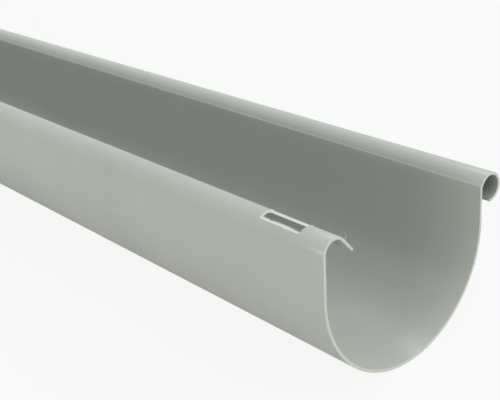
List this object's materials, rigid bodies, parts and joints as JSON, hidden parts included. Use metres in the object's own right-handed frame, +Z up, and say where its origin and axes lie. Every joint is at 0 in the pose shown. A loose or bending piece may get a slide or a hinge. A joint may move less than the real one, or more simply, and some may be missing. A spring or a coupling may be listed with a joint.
{
  "type": "gutter section",
  "caption": "Light grey half-round eaves gutter in extruded rigid PVC, with a rolled front bead, a hooked rear lip slotted near one end, and sawn ends.",
  "frame": {"origin": "on the floor, under the middle of the gutter's bounding box", "axes": "+X along the gutter, away from the slotted end; -Y towards the front, where the bead is; +Z up, with the gutter lying on its half-round as it comes to rest"},
  "size_m": [2, 0.143, 0.1042],
  "materials": {
    "gutter_pvc": "satin"
  },
  "bodies": {
    "root": {"gutter": "gutter_pvc"}
  },
  "joints": []
}
